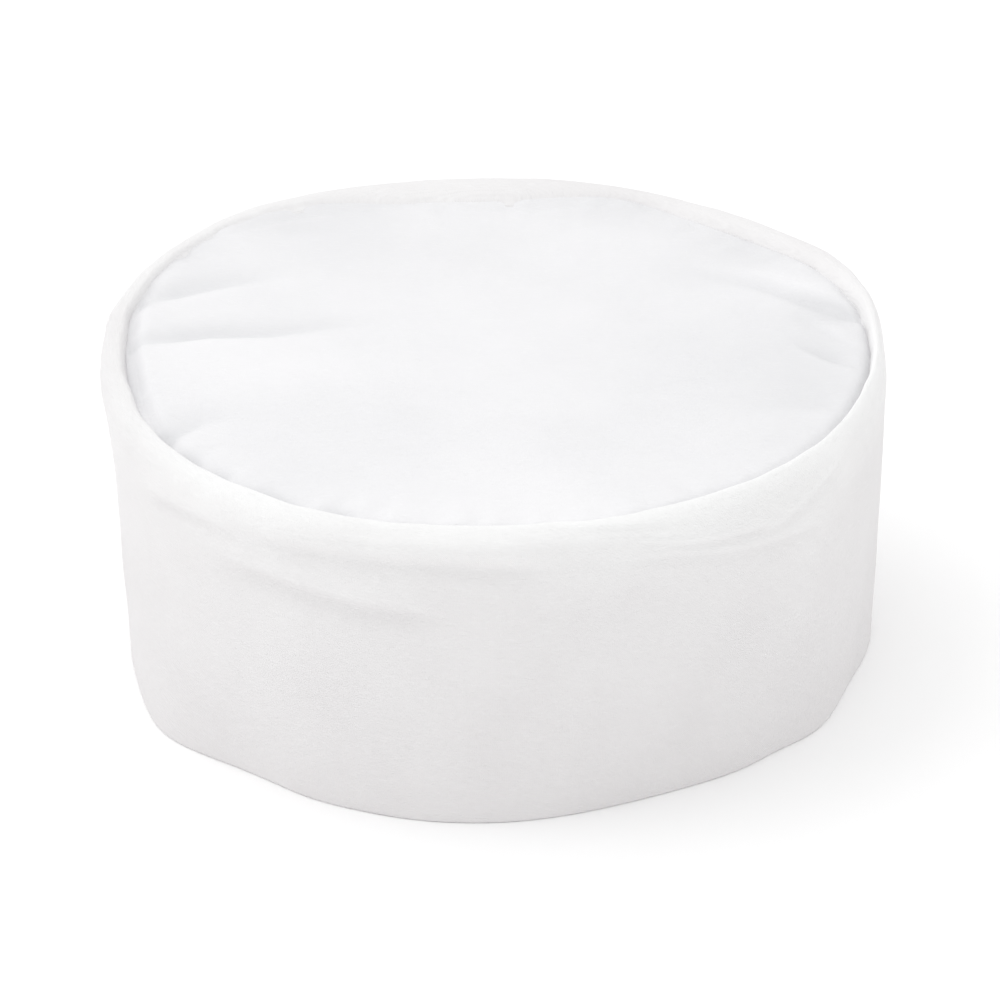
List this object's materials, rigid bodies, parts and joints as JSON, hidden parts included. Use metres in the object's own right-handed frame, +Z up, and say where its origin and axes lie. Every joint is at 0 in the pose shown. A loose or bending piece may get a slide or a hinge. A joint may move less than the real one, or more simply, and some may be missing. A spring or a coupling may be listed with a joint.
{
  "type": "skull cap",
  "caption": "Cook's skull cap: tall upright cloth band with a soft rolled top edge and a flat round crown set in just below it.",
  "frame": {"origin": "under the middle of the cap's own box, on the surface that its hem stands on", "axes": "+Z up through the crown, -Y to the front of the cap, +X to the wearer's left"},
  "size_m": [0.197, 0.189, 0.0852],
  "materials": {
    "band_cloth": "matt white cotton twill, doubled",
    "crown_cloth": "matt white cotton plain weave, thin, slightly cooler than the band"
  },
  "bodies": {
    "root": {"band": "band_cloth", "crown": "crown_cloth"}
  },
  "joints": []
}
